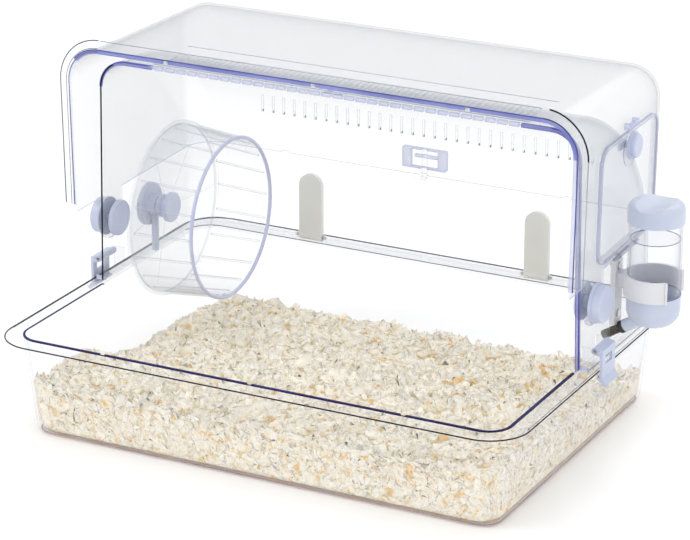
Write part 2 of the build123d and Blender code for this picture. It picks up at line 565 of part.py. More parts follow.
def make_wheel_axle():
    """Fixed axle: a stepped boss at the wall and a plain journal for the wheel."""
    axle = rod_x(9.5, -213.0, HUB_X - 6.2, WHEEL_Y, WHEEL_Z)
    axle = fillet(axle.edges().group_by(Axis.X)[-1], 1.5)
    return axle + rod_x(AXLE_RADIUS, HUB_X - 7, HUB_X + 6, WHEEL_Y, WHEEL_Z)


def make_axle_cap():
    """Round cap that keeps the wheel on its axle."""
    cap = rod_x(13, HUB_X + 3.6, HUB_X + 8, WHEEL_Y, WHEEL_Z)
    cap = fillet(cap.edges().group_by(Axis.X)[-1], 1.4)
    return cap - rod_x(AXLE_RADIUS, HUB_X, HUB_X + 6, WHEEL_Y, WHEEL_Z)


def make_mount_disc():
    """Round plate inside the left wall with a stem through the wall."""
    disc = rod_x(19, -217.2, -213.0, WHEEL_Y, WHEEL_Z)
    disc = fillet(disc.edges().group_by(Axis.X)[-1], 1.5)
    return disc + rod_x(5, -221.5, -217.2, WHEEL_Y, WHEEL_Z)


def make_mount_nut():
    """Flat nut on the stem outside the wall."""
    nut = rod_x(9, -223.0, -220.1, WHEEL_Y, WHEEL_Z)
    return nut - rod_x(5, -221.5, -219, WHEEL_Y, WHEEL_Z)


def make_mount_strut():
    """Upright strut under the axle's boss."""
    low = WHEEL_Z - 42
    strut = box(-212.6, -208.0, WHEEL_Y - 3, WHEEL_Y + 3, low, WHEEL_Z)
    return fillet(strut.edges().filter_by(Axis.Z), 1) - rod_x(9.5, -214, -200, WHEEL_Y, WHEEL_Z)


# --- water bottle -----------------------------------------------------------------------------------
def tube_axis():
    """Direction of the drinking tube, from its open end up to the bottle."""
    return Vector(cos(radians(TUBE_SLOPE_DEG)), 0, sin(radians(TUBE_SLOPE_DEG)))


def tube_solid(radius, start, length):
    """Cylinder on the drinking tube's axis, from start to start + length above its open end."""
    middle = TUBE_END + tube_axis() * (start + length / 2)
    return Pos(middle.X, middle.Y, middle.Z) * Rot(0, 90 - TUBE_SLOPE_DEG, 0) * Cylinder(radius, length)


def bottle_turned(points):
    """Ring or solid turned about the bottle's axis from (radius, z) points."""
    face = Plane.XZ * make_face(Polyline(*points, close=True))
    return Pos(BOTTLE_X, BOTTLE_Y, 0) * revolve(face, Axis.Z)


def make_bottle_body():
    """Clear open-ended cylinder."""
    r = BOTTLE_RADIUS
    return bottle_turned([(r - BOTTLE_WALL, BASE_TOP_Z), (r, BASE_TOP_Z), (r, CAP_LOW_Z + 6),
                          (r - BOTTLE_WALL, CAP_LOW_Z + 6)])


def make_bottle_base():
    """Rounded lower cup with a sloping spout."""
    r = BOTTLE_RADIUS
    cup = rod_z(r, BASE_LOW_Z, BASE_TOP_Z, BOTTLE_X, BOTTLE_Y)
    cup = fillet(cup.edges().group_by(Axis.Z)[0], 15)
    cup += tube_solid(5.4, SPOUT_START, 18)
    cup -= rod_z(r - 3, BASE_LOW_Z + 9, BASE_TOP_Z + 1, BOTTLE_X, BOTTLE_Y)
    cup -= rod_z(12, BASE_LOW_Z + 4.5, BASE_LOW_Z + 10, BOTTLE_X, BOTTLE_Y)
    cup -= tube_solid(TUBE_RADIUS + 0.6, SPOUT_START - 0.5, 6.0)
    return cup - tube_solid(TUBE_BORE, TUBE_LENGTH - 1, 14)


def make_water():
    """Water in the bottle."""
    lower = rod_z(BOTTLE_RADIUS - 3.2, BASE_LOW_Z + 9.2, BASE_TOP_Z, BOTTLE_X, BOTTLE_Y)
    return lower + rod_z(BOTTLE_RADIUS - BOTTLE_WALL - 0.1, BASE_TOP_Z, WATER_Z, BOTTLE_X, BOTTLE_Y)


def make_bottle_cap():
    """Domed screw cap with a wide finger groove."""
    r = BOTTLE_RADIUS + 1.5
    cap = rod_z(r, CAP_LOW_Z, CAP_TOP_Z, BOTTLE_X, BOTTLE_Y)
    cap = fillet(cap.edges().group_by(Axis.Z)[-1], 7)
    cap -= Pos(BOTTLE_X, BOTTLE_Y, CAP_TOP_Z + 26.5) * Rot(90, 0, 35) * Cylinder(30, 80)
    return cap - rod_z(BOTTLE_RADIUS + 0.3, CAP_LOW_Z - 1, CAP_LOW_Z + 7, BOTTLE_X, BOTTLE_Y)


def make_tube():
    """Steel drinking tube with a crimped end that keeps the ball in."""
    tube = tube_solid(TUBE_RADIUS, 0, TUBE_LENGTH)
    return tube - tube_solid(TUBE_BORE, 1.2, TUBE_LENGTH) - tube_solid(2.1, -1, 4)


def make_seal():
    """Rubber sleeve between the spout and the tube, with a collar outside the spout."""
    sleeve = tube_solid(TUBE_RADIUS + 0.6, SEAL_START, TUBE_LENGTH - SEAL_START)
    sleeve += tube_solid(5.2, SEAL_START, SPOUT_START - SEAL_START - 0.3)
    return sleeve - tube_solid(TUBE_RADIUS, SEAL_START - 1, TUBE_LENGTH)


def ball_seat():
    """Distance of the ball's centre above the tube's open end, resting on the crimp."""
    return 1.2 + (BALL_RADIUS ** 2 - 2.1 ** 2) ** 0.5 + 0.05


def make_ball():
    """Drinking ball."""
    centre = TUBE_END + tube_axis() * ball_seat()
    return Pos(centre.X, centre.Y, centre.Z) * Sphere(BALL_RADIUS)


def make_strap():
    """C-shaped strap round the bottle, open to the outside, with a rib at each end."""
    inner, outer = BOTTLE_RADIUS + 0.1, BOTTLE_RADIUS + 0.1 + STRAP_THICK
    top = STRAP_LOW_Z + STRAP_HEIGHT
    strap = rod_z(outer, STRAP_LOW_Z, top, BOTTLE_X, BOTTLE_Y)
    strap -= rod_z(inner, STRAP_LOW_Z - 1, top + 1, BOTTLE_X, BOTTLE_Y)
    half = STRAP_GAP_DEG / 2
    reach = 60
    gap = make_face(Polyline((0, 0), (reach, -reach * sin(radians(half)) / cos(radians(half))),
                             (reach, reach * sin(radians(half)) / cos(radians(half))), close=True))
    strap -= Pos(BOTTLE_X, BOTTLE_Y, STRAP_LOW_Z - 1) * extrude(gap, STRAP_HEIGHT + 2)
    for turn in (-half, half):
        rib = Pos(outer + 0.3, 0, 0) * Box(2.2, 1.8, STRAP_HEIGHT)
        strap += Pos(BOTTLE_X, BOTTLE_Y, (STRAP_LOW_Z + top) / 2) * Rot(0, 0, turn) * rib
    return strap


def make_bracket():
    """Upright strip on the hood's right wall with a neck that carries the strap."""
    strip = box(221.2, 225.4, BOTTLE_Y - 7.5, BOTTLE_Y + 7.5, TRAY_HEIGHT + 19.0, TRAY_HEIGHT + 74.5)
    strip = fillet(strip.edges().filter_by(Axis.X), 2)
    mid = STRAP_LOW_Z + STRAP_HEIGHT / 2
    neck = box(225.4, BOTTLE_X - BOTTLE_RADIUS + 2, BOTTLE_Y - 5, BOTTLE_Y + 5, mid - 6, mid + 6)
    neck -= rod_z(BOTTLE_RADIUS + 0.1 + STRAP_THICK, mid - 9, mid + 9, BOTTLE_X, BOTTLE_Y)
    return strip + neck


def make_bracket_screws():
    """Two screws that hold the strip to the wall."""
    screws = []
    for z in BRACKET_SCREW_Z:
        screws.append(rod_x(3.2, 225.4, 226.6, BOTTLE_Y, z) + rod_x(1.5, 218, 225.4, BOTTLE_Y, z))
    return Compound(screws)


def drilled(shape):
    """The shape with the bracket screws' holes through it."""
    for z in BRACKET_SCREW_Z:
        shape -= rod_x(1.5, 217, 225.4, BOTTLE_Y, z)
    return shape


# --- write every piece --------------------------------------------------------------------------------
pivot_pin, pivot_cap = make_pivot_pin(), make_pivot_cap()
side_latch, latch_pin = make_side_latch(), make_latch_pin()
pieces = {
    "base_tray": make_tray(),
    "bedding": make_bedding(),
    "hood": drilled(make_hood()),
    "latch_keeper": make_keeper(),
    "corner_feet": make_corner_feet(),
    "pivot_pin_left": mirrored(pivot_pin),
    "pivot_pin_right": pivot_pin,
    "pivot_cap_left": mirrored(pivot_cap),
    "pivot_cap_right": pivot_cap,
    "front_cover": make_cover(),
    "cover_latch_frame": make_latch_frame(),
    "cover_latch_bolt": make_latch_bolt(),
    "door_hinge_pin": make_hinge_pin(),
    "door_keeper": make_door_keeper(),
    "side_door": make_door(),
    "door_knob": make_door_knob(),
    "side_latch_left": mirrored(side_latch),
    "side_latch_right": side_latch,
    "latch_pin_left": mirrored(latch_pin),
    "latch_pin_right": latch_pin,
    "rear_clip_left": make_rear_clip(-CLIP_X),
    "rear_clip_right": make_rear_clip(CLIP_X),
    "rear_clip_pins": make_clip_pins(),
    "wheel_mount_disc": make_mount_disc(),
    "wheel_mount_nut": make_mount_nut(),
    "wheel_mount_strut": make_mount_strut(),
    "wheel_axle": make_wheel_axle(),
    "wheel_axle_cap": make_axle_cap(),
    "wheel_drum": make_wheel_drum(),
    "wheel_front_ring": make_wheel_ring(),
    "wheel_back_disc": make_wheel_disc(),
    "wheel_hub": make_wheel_hub(),
    "wheel_bush": make_wheel_bush(),
    "bottle_bracket": drilled(make_bracket()),
    "bracket_screws": make_bracket_screws(),
    "bottle_strap": make_strap(),
    "bottle_body": make_bottle_body(),
    "bottle_base": make_bottle_base(),
    "bottle_water": make_water(),
    "bottle_cap": make_bottle_cap(),
    "drinking_tube": make_tube(),
    "tube_seal": make_seal(),
    "drinking_ball": make_ball(),
}
for name, piece in pieces.items():
    export_step(piece, f"parts/{name}.step")
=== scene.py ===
"""Looks of a clear hamster cage with paper bedding, built round its CAD frame. Metres, +Z up."""
import math

import bpy
import numpy as np
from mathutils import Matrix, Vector


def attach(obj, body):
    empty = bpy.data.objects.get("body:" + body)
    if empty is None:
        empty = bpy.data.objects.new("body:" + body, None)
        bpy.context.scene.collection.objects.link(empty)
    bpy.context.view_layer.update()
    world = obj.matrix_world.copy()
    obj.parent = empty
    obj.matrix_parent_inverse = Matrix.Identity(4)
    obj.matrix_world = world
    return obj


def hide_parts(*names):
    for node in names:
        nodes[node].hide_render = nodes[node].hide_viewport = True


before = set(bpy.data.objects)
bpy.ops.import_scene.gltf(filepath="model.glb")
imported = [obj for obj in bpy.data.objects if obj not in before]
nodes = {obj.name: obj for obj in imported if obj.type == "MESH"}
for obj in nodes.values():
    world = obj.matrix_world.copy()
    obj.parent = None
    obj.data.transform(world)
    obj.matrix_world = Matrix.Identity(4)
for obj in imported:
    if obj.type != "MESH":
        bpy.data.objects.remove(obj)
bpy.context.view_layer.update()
MM = 0.001

# The tray's inner walls, in millimetres: half lengths at the rim, how far they lean in, corner radius.
WALL_X, WALL_Y, WALL_LEAN, WALL_TOP, WALL_CORNER = 217.5, 159.0, 6.9, 85.0, 17.5
# The bedding's lowest and highest point, and the tray's rounded foot: its top, its rise and its inset.
BED_FLOOR, BED_TOP = 2.5, 51.0
FOOT_TOP, FOOT_RISE, FOOT_INSET = 9.0, 7.0, 4.5
# The bedding's level, its rise to the front wall, and the heap: height, centre and spread in x and y.
LEVEL, FRONT_RISE = 28.0, 13.5
HEAP, HEAP_X, HEAP_Y, HEAP_LONG, HEAP_WIDE = 8.5, 25, -45, 130, 62
# The block under the loose flakes: depth below the surface, least height, gap to the walls, grid.
CORE_BELOW, CORE_LEAST, CORE_GAP, CORE_ROWS, CORE_COLS = 3.6, 3.6, 3.4, 110, 84
# One paper flake: points along and across it, its thickness, and the ranges of its length and width.
ROWS, COLS = 5, 4
THICK = (0.7, 1.5)
BIG, WIDE, SMALL, NARROW = (9.0, 17.0), (6.0, 11.0), (5.0, 9.0), (3.5, 6.0)


# --- meshes ---------------------------------------------------------------------------
def add_mesh(name, points, quads, smooth=True):
    """Mesh object from an (n, 3) array of millimetre points and an (m, 4) array of corner numbers."""
    mesh = bpy.data.meshes.new(name)
    count = len(quads)
    mesh.vertices.add(len(points))
    mesh.vertices.foreach_set("co", (np.asarray(points, np.float32) * MM).ravel())
    mesh.loops.add(count * 4)
    mesh.loops.foreach_set("vertex_index", np.asarray(quads, np.int32).ravel())
    mesh.polygons.add(count)
    mesh.polygons.foreach_set("loop_start", np.arange(0, count * 4, 4, dtype=np.int32))
    mesh.polygons.foreach_set("use_smooth", np.full(count, smooth))
    mesh.update(calc_edges=True)
    mesh.validate()
    obj = bpy.data.objects.new(name, mesh)
    bpy.context.scene.collection.objects.link(obj)
    return obj


def closed_patch(rows, cols):
    """Corner numbers of a closed two-sided patch: a grid of rows by cols, the same below it, and a rim."""
    top = np.arange(rows * cols).reshape(rows, cols)
    low = top + rows * cols
    face = np.stack([top[:-1, :-1], top[1:, :-1], top[1:, 1:], top[:-1, 1:]], -1).reshape(-1, 4)
    back = np.stack([low[:-1, :-1], low[:-1, 1:], low[1:, 1:], low[1:, :-1]], -1).reshape(-1, 4)
    ring = np.concatenate([top[:, 0], top[-1, 1:], top[-2::-1, -1], top[0, -2:0:-1]])
    after = np.roll(ring, -1)
    rim = np.stack([ring, ring + rows * cols, after + rows * cols, after], -1)
    return np.concatenate([face, back, rim])


# --- bedding ------------------------------------------------------------------------------
def inner_half(z):
    """Half length and half width of the tray's inside at height z: the walls lean evenly in to the floor."""
    lean = WALL_LEAN * (1 - z / WALL_TOP)
    return WALL_X - lean, WALL_Y - lean


def keep_inside(points, gap):
    """Presses points against the tray's inner walls and floor: a clamp to the rounded rectangle at their
    height, drawn in by gap and by the square of the depth in the rounded foot, with round corners."""
    p = np.array(points, float)
    p[..., 2] = np.clip(p[..., 2], BED_FLOOR + gap * 0.3, BED_TOP)
    half_x, half_y = inner_half(p[..., 2])
    foot = FOOT_INSET * np.clip((FOOT_TOP - p[..., 2]) / FOOT_RISE, 0, 1) ** 2
    half_x, half_y = half_x - gap - foot, half_y - gap - foot
    p[..., 0] = np.clip(p[..., 0], -half_x, half_x)
    p[..., 1] = np.clip(p[..., 1], -half_y, half_y)
    over_x = np.abs(p[..., 0]) - (half_x - WALL_CORNER)
    over_y = np.abs(p[..., 1]) - (half_y - WALL_CORNER)
    reach = np.hypot(np.maximum(over_x, 0), np.maximum(over_y, 0))
    pull = np.where(reach > WALL_CORNER, WALL_CORNER / np.maximum(reach, 1e-6), 1.0)
    corner = (over_x > 0) & (over_y > 0)
    x_in = np.sign(p[..., 0]) * (half_x - WALL_CORNER + over_x * pull)
    y_in = np.sign(p[..., 1]) * (half_y - WALL_CORNER + over_y * pull)
    p[..., 0] = np.where(corner, x_in, p[..., 0])
    p[..., 1] = np.where(corner, y_in, p[..., 1])
    return p


def smooth_step(a, b, t):
    """0 on the far side of a, 1 on the far side of b, and the cubic 3s^2 - 2s^3 between."""
    s = np.clip((t - a) / (b - a), 0, 1)
    return s * s * (3 - 2 * s)


def heap_height(x, y):
    """Height of the bedding: a level that rises to the front, a bell-shaped heap near the middle, a lift at
    the right wall, three waves for unevenness, and a fall towards the left and back walls."""
    level = LEVEL + FRONT_RISE * smooth_step(40.0, -150.0, y)
    heap = HEAP * np.exp(-((x - HEAP_X) / HEAP_LONG) ** 2 - ((y - HEAP_Y) / HEAP_WIDE) ** 2)
    right = 4.0 * smooth_step(120.0, 205.0, x) * smooth_step(120.0, -40.0, y)
    waves = (1.5 * np.sin(0.045 * x + 0.8) * np.cos(0.052 * y + 0.3) + 1.1 * np.sin(0.11 * x - 0.07 * y)
             + 0.8 * np.cos(0.16 * y + 0.05 * x + 1.0))
    left_fall = smooth_step(34.0, 4.0, x + 212) * smooth_step(-70.0, -20.0, y)
    back_fall = smooth_step(24.0, 4.0, 152 - y)
    return (level + heap + right + waves) * (1 - 0.72 * left_fall) * (1 - 0.62 * back_fall)


def flake_shapes(count, rng, long_mm, wide_mm):
    """Local points of count crumpled flakes, (count, 2 * ROWS * COLS, 3): a grid over an uneven outline with
    its corners drawn in, bent as z = a u^2 + b v^2 + c u v plus two waves and a little noise, and the same
    grid again below it at the flake's thickness."""
    u, v = np.meshgrid(np.linspace(-1, 1, ROWS), np.linspace(-1, 1, COLS), indexing="ij")
    u, v = u.ravel(), v.ravel()
    shrink = 1 - 0.24 * (u * v) ** 2
    grid = (count, ROWS * COLS)
    long_side = rng.uniform(*long_mm, (count, 1))
    wide_side = rng.uniform(*wide_mm, (count, 1))
    x = (u * shrink + rng.normal(0, 0.10, grid)) * long_side / 2
    y = (v * shrink + rng.normal(0, 0.13, grid)) * wide_side / 2
    a, b, c = (rng.normal(0, s, (count, 1)) for s in (0.22, 0.32, 0.26))
    first, second = rng.uniform(0, 6.3, (count, 1)), rng.uniform(0, 6.3, (count, 1))
    waves = 0.10 * np.sin(3.1 * u + 1.7 * v + first) + 0.08 * np.sin(4.3 * v - 2.2 * u + second)
    z = (a * u ** 2 + b * v ** 2 + c * u * v + waves + rng.normal(0, 0.035, grid)) * long_side * 0.5
    thick = rng.uniform(*THICK, (count, 1)) * (1 + rng.normal(0, 0.15, grid))
    top = np.stack([x, y, z + thick / 2], -1)
    low = np.stack([x * 0.94, y * 0.94, z - thick / 2], -1)
    return np.concatenate([top, low], 1)


def turned_flakes(shapes, centres, facing, rng, tilt):
    """Each flake turned so that its flat side looks along facing, leaned at random by tilt, and spun about
    it: the columns of its turn are two directions across the axis and the axis itself."""
    count = len(shapes)
    axis = facing + rng.normal(0, tilt, (count, 3))
    axis /= np.linalg.norm(axis, axis=1, keepdims=True)
    helper = rng.normal(0, 1, (count, 3))
    side = np.cross(axis, helper)
    side /= np.linalg.norm(side, axis=1, keepdims=True)
    other = np.cross(axis, side)
    turn = np.stack([side, other, axis], -1)
    return np.einsum("nij,nkj->nki", turn, shapes) + centres[:, None, :]


def flake_piece(name, centres, facing, rng, tilt, long_mm, wide_mm):
    """One mesh of many flakes, pressed inside the tray."""
    shapes = flake_shapes(len(centres), rng, long_mm, wide_mm)
    points = keep_inside(turned_flakes(shapes, centres, facing, rng, tilt), 0.5)
    faces = closed_patch(ROWS, COLS)
    quads = faces[None] + 2 * ROWS * COLS * np.arange(len(centres))[:, None, None]
    return add_mesh(name, points.reshape(-1, 3), quads.reshape(-1, 4))


def top_flakes(name, count, seed, depth, long_mm, wide_mm):
    """Flakes lying on the heap, their centres from depth[0] to depth[1] below its surface."""
    rng = np.random.default_rng(seed)
    x = rng.uniform(-WALL_X, WALL_X, count)
    y = rng.uniform(-WALL_Y, WALL_Y, count)
    z = heap_height(x, y) - rng.uniform(*depth, count)
    centres = keep_inside(np.stack([x, y, z], -1), 2.5)
    facing = np.tile([0.0, 0.0, 1.0], (count, 1))
    return flake_piece(name, centres, facing, rng, 0.34, long_mm, wide_mm)


def wall_flakes(name, count, seed, layer, long_mm, wide_mm):
    """Flakes pressed against the four walls, layer[0] to layer[1] inside them, at random heights and a random
    distance round the walls, which runs from the front left corner to the right, back, left and forward."""
    rng = np.random.default_rng(seed)
    half_x, half_y = WALL_X - 3, WALL_Y - 3
    front = rng.uniform(0, 4 * (half_x + half_y), count)
    right = front - 2 * half_x
    back = right - 2 * half_y
    left = back - 2 * half_x
    walls = [right < 0, back < 0, left < 0]
    x = np.select(walls, [front - half_x, half_x, half_x - back], -half_x)
    y = np.select(walls, [-half_y, right - half_y, half_y], half_y - left)
    inward = np.stack([-np.sign(x) * (np.abs(x) > half_x - 0.1),
                       -np.sign(y) * (np.abs(y) > half_y - 0.1)], -1)
    depth = rng.uniform(*layer, count)
    x, y = x + inward[:, 0] * depth, y + inward[:, 1] * depth
    top = heap_height(x + inward[:, 0] * 9, y + inward[:, 1] * 9)
    z = 3.0 + rng.uniform(0, 1, count) * np.maximum(top - 3.5, 1)
    centres = keep_inside(np.stack([x, y, z], -1), 1.6)
    facing = np.concatenate([inward, np.zeros((count, 1))], 1)
    return flake_piece(name, centres, facing, rng, 0.26, long_mm, wide_mm)


def heap_core():
    """Closed block just under the loose flakes: the heap's height less a few millimetres over an even grid,
    and the same grid on the floor."""
    u, v = np.meshgrid(np.linspace(-1, 1, CORE_ROWS), np.linspace(-1, 1, CORE_COLS), indexing="ij")
    x, y = u * (WALL_X - 4), v * (WALL_Y - 4)
    top = np.stack([x, y, np.maximum(heap_height(x, y) - CORE_BELOW, CORE_LEAST)], -1)
    low = np.stack([x, y, np.full_like(x, BED_FLOOR)], -1)
    points = np.concatenate([keep_inside(grid, CORE_GAP).reshape(-1, 3) for grid in (top, low)])
    return add_mesh("bedding_core", points, closed_patch(CORE_ROWS, CORE_COLS))


# --- materials --------------------------------------------------------------------------------
def new_material(name):
    """Empty node material and its tree, with an output node."""
    material = bpy.data.materials.new(name)
    material.use_nodes = True
    tree = material.node_tree
    tree.nodes.clear()
    output = tree.nodes.new("ShaderNodeOutputMaterial")
    return material, tree, output


def add_node(tree, kind, **settings):
    """Node with some of its settings and input values set: input values are given as i_NUMBER or by name."""
    node = tree.nodes.new(kind)
    for key, value in settings.items():
        if key.startswith("i_"):
            node.inputs[int(key[2:])].default_value = value
        elif hasattr(node, key):
            setattr(node, key, value)
        else:
            node.inputs[key.replace("_", " ")].default_value = value
    return node


def grain(tree, scale, detail, stretch=(1, 1, 1), rough=0.5):
    """Noise on Object coordinates, stretched by a Mapping node. Returns its factor."""
    place = add_node(tree, "ShaderNodeTexCoord")
    mapping = add_node(tree, "ShaderNodeMapping")
    mapping.inputs["Scale"].default_value = stretch
    noise = add_node(tree, "ShaderNodeTexNoise", Scale=scale, Detail=detail, Roughness=rough)
    tree.links.new(place.outputs["Object"], mapping.inputs["Vector"])
    tree.links.new(mapping.outputs["Vector"], noise.inputs["Vector"])
    return noise.outputs["Fac"]


def colours(tree, fac, stops):
    """Colour ramp over fac with (place, colour) stops."""
    ramp = add_node(tree, "ShaderNodeValToRGB")
    elements = ramp.color_ramp.elements
    while len(elements) < len(stops):
        elements.new(0.5)
    for element, (place, colour) in zip(elements, stops):
        element.position = place
        element.color = (*colour, 1)
    tree.links.new(fac, ramp.inputs["Fac"])
    return ramp.outputs["Color"]


def bumps(tree, fac, strength, distance):
    """Bump from a factor."""
    bump = add_node(tree, "ShaderNodeBump", Strength=strength, Distance=distance)
    tree.links.new(fac, bump.inputs["Height"])
    return bump.outputs["Normal"]


def clear_plastic(name, passed, face_colour, grazing_shade, thin, thick, power):
    """Clear moulded plastic: see-through face on, denser where the sheet is seen along its length, and there
    painted a greyer shade: painted shade at grazing angles on top of the sheet's own tint. Density = thin +
    (thick - thin) * facing ^ power, with faint flow streaks from the mould."""
    material, tree, output = new_material(name)
    link = tree.links.new
    weight = add_node(tree, "ShaderNodeLayerWeight", Blend=0.5)
    bent = add_node(tree, "ShaderNodeMath", operation="POWER", i_1=power)
    link(weight.outputs["Facing"], bent.inputs[0])
    streaks = grain(tree, 18, 3, (1, 1, 0.35))
    density = add_node(tree, "ShaderNodeMapRange")
    density.inputs["To Min"].default_value = thin
    density.inputs["To Max"].default_value = thick
    link(bent.outputs[0], density.inputs["Value"])
    swing = add_node(tree, "ShaderNodeMath", operation="MULTIPLY_ADD", i_1=0.05, i_2=0.975)
    link(streaks, swing.inputs[0])
    total = add_node(tree, "ShaderNodeMath", operation="MULTIPLY", use_clamp=True)
    link(density.outputs["Result"], total.inputs[0])
    link(swing.outputs[0], total.inputs[1])
    body = add_node(tree, "ShaderNodeBsdfPrincipled", Roughness=0.06, IOR=1.55)
    # Painted shade: the colour runs from the face-on tint to a grey where the sheet is seen edge-on.
    link(colours(tree, bent.outputs[0], [(0.0, face_colour), (0.75, grazing_shade)]), body.inputs["Base Color"])
    through = add_node(tree, "ShaderNodeBsdfTransparent", Color=(*passed, 1))
    mixed = add_node(tree, "ShaderNodeMixShader")
    link(total.outputs[0], mixed.inputs[0])
    link(through.outputs[0], mixed.inputs[1])
    link(body.outputs[0], mixed.inputs[2])
    link(mixed.outputs[0], output.inputs["Surface"])
    return material


def edge_tint_and_shade(name, low, high, density, rough=0.12, shine=0.5):
    """A sheet's cut or moulded edge, a slot or a fine line: tinted plastic that stops a share of the light, a
    little uneven. Its colour is partly the plastic's own tint and partly painted shade, given in lighter and
    darker copies by where the edge lies.
    """
    material, tree, output = new_material(name)
    link = tree.links.new
    body = add_node(tree, "ShaderNodeBsdfPrincipled", Roughness=rough, IOR=1.55)
    body.inputs["Specular IOR Level"].default_value = shine
    shade = colours(tree, grain(tree, 16, 3), [(0.30, low), (0.70, high)])
    link(shade, body.inputs["Base Color"])
    through = add_node(tree, "ShaderNodeBsdfTransparent", Color=(*[0.5 + 0.5 * c for c in high], 1))
    mixed = add_node(tree, "ShaderNodeMixShader", i_0=density)
    link(through.outputs[0], mixed.inputs[1])
    link(body.outputs[0], mixed.inputs[2])
    link(mixed.outputs[0], output.inputs["Surface"])
    return material


def solid_plastic(name, low, high, rough):
    """Opaque moulded plastic with a slight mottling and a fine surface grain."""
    material, tree, output = new_material(name)
    link = tree.links.new
    body = add_node(tree, "ShaderNodeBsdfPrincipled", Roughness=rough, IOR=1.5)
    body.inputs["Subsurface Weight"].default_value = 0.12
    body.inputs["Subsurface Radius"].default_value = (0.004, 0.004, 0.005)
    link(colours(tree, grain(tree, 26, 4), [(0.3, low), (0.7, high)]), body.inputs["Base Color"])
    link(bumps(tree, grain(tree, 900, 2), 0.05, 0.0002), body.inputs["Normal"])
    link(body.outputs[0], output.inputs["Surface"])
    return material


def metal(name, low, high, rough):
    """Drawn metal: colour and fine lines from noise stretched along the part."""
    material, tree, output = new_material(name)
    link = tree.links.new
    body = add_node(tree, "ShaderNodeBsdfPrincipled", Roughness=rough, Metallic=1.0)
    shade = colours(tree, grain(tree, 160, 3, (0.2, 1, 1)), [(0.3, low), (0.7, high)])
    link(shade, body.inputs["Base Color"])
    link(bumps(tree, grain(tree, 700, 2, (0.1, 1, 1)), 0.08, 0.0002), body.inputs["Normal"])
    link(body.outputs[0], output.inputs["Surface"])
    return material


def paper_flake(name, stops, fine):
    """Torn paper flakes: a colour from coarse noise, then fibres and a rough surface. Thin paper lets light
    through, so a share is translucent, and a faint warm emission is added on top: painted light that brightens
    the flakes' shadows, though paper gives off no light."""
    material, tree, output = new_material(name)
    link = tree.links.new
    base = colours(tree, grain(tree, 130, 2, rough=0.6), stops)
    fibre = colours(tree, grain(tree, fine, 4), [(0.25, (0.95, 0.92, 0.86)), (0.6, (1, 1, 1))])
    mix = add_node(tree, "ShaderNodeMix", data_type="RGBA", blend_type="MULTIPLY")
    mix.inputs[0].default_value = 0.6
    link(base, mix.inputs[6])
    link(fibre, mix.inputs[7])
    normal = bumps(tree, grain(tree, 1400, 3), 0.25, 0.0005)
    matt = add_node(tree, "ShaderNodeBsdfDiffuse", Roughness=0.4)
    glow = add_node(tree, "ShaderNodeBsdfTranslucent")
    for shader in (matt, glow):
        link(mix.outputs[2], shader.inputs["Color"])
        link(normal, shader.inputs["Normal"])
    both = add_node(tree, "ShaderNodeMixShader", i_0=0.42)
    link(matt.outputs[0], both.inputs[1])
    link(glow.outputs[0], both.inputs[2])
    # Painted light: a faint warm glow that lifts the flakes' shadows; the paper is no lamp.
    painted_glow = add_node(tree, "ShaderNodeEmission", Color=(1.0, 0.92, 0.76, 1), Strength=0.085)
    total = add_node(tree, "ShaderNodeAddShader")
    link(both.outputs[0], total.inputs[0])
    link(painted_glow.outputs[0], total.inputs[1])
    link(total.outputs[0], output.inputs["Surface"])
    return material


# Clear plastics: the light that passes, the sheet's colour face on, the grey painted along the sheet as painted
# shade, and its density.
PASSED, FACE, EDGE = (0.988, 0.990, 0.992), (0.72, 0.74, 0.77), (0.32, 0.35, 0.41)
hood_clear = clear_plastic("hood_clear", PASSED, FACE, EDGE, thin=0.018, thick=0.55, power=2.8)
cover_clear = clear_plastic("cover_clear", PASSED, FACE, (0.40, 0.42, 0.46),
                            thin=0.026, thick=0.60, power=2.3)
tray_clear = clear_plastic("tray_clear", (0.994, 0.994, 0.995), (0.88, 0.88, 0.90), (0.46, 0.48, 0.58),
                           thin=0.010, thick=0.40, power=3.5)
door_clear = clear_plastic("door_clear", PASSED, (0.82, 0.84, 0.86), (0.42, 0.45, 0.58),
                           thin=0.05, thick=0.55, power=2.5)
wheel_clear = clear_plastic("wheel_clear", PASSED, FACE, (0.36, 0.39, 0.46),
                            thin=0.026, thick=0.56, power=2.8)
rung_pale = clear_plastic("rung_pale", (0.96, 0.965, 0.975), (0.74, 0.76, 0.82), (0.28, 0.31, 0.40),
                          thin=0.18, thick=0.85, power=1.7)
bottle_clear = clear_plastic("bottle_clear", PASSED, (0.88, 0.89, 0.93), (0.34, 0.36, 0.48),
                             thin=0.03, thick=0.70, power=3.2)
water_clear = clear_plastic("water_clear", (0.985, 0.986, 0.992), (0.86, 0.88, 0.93), (0.34, 0.35, 0.50),
                            thin=0.02, thick=0.42, power=2.8)
latch_clear = clear_plastic("latch_clear", (0.93, 0.94, 0.98), (0.70, 0.73, 0.88), (0.34, 0.38, 0.66),
                            thin=0.32, thick=0.85, power=2.0)

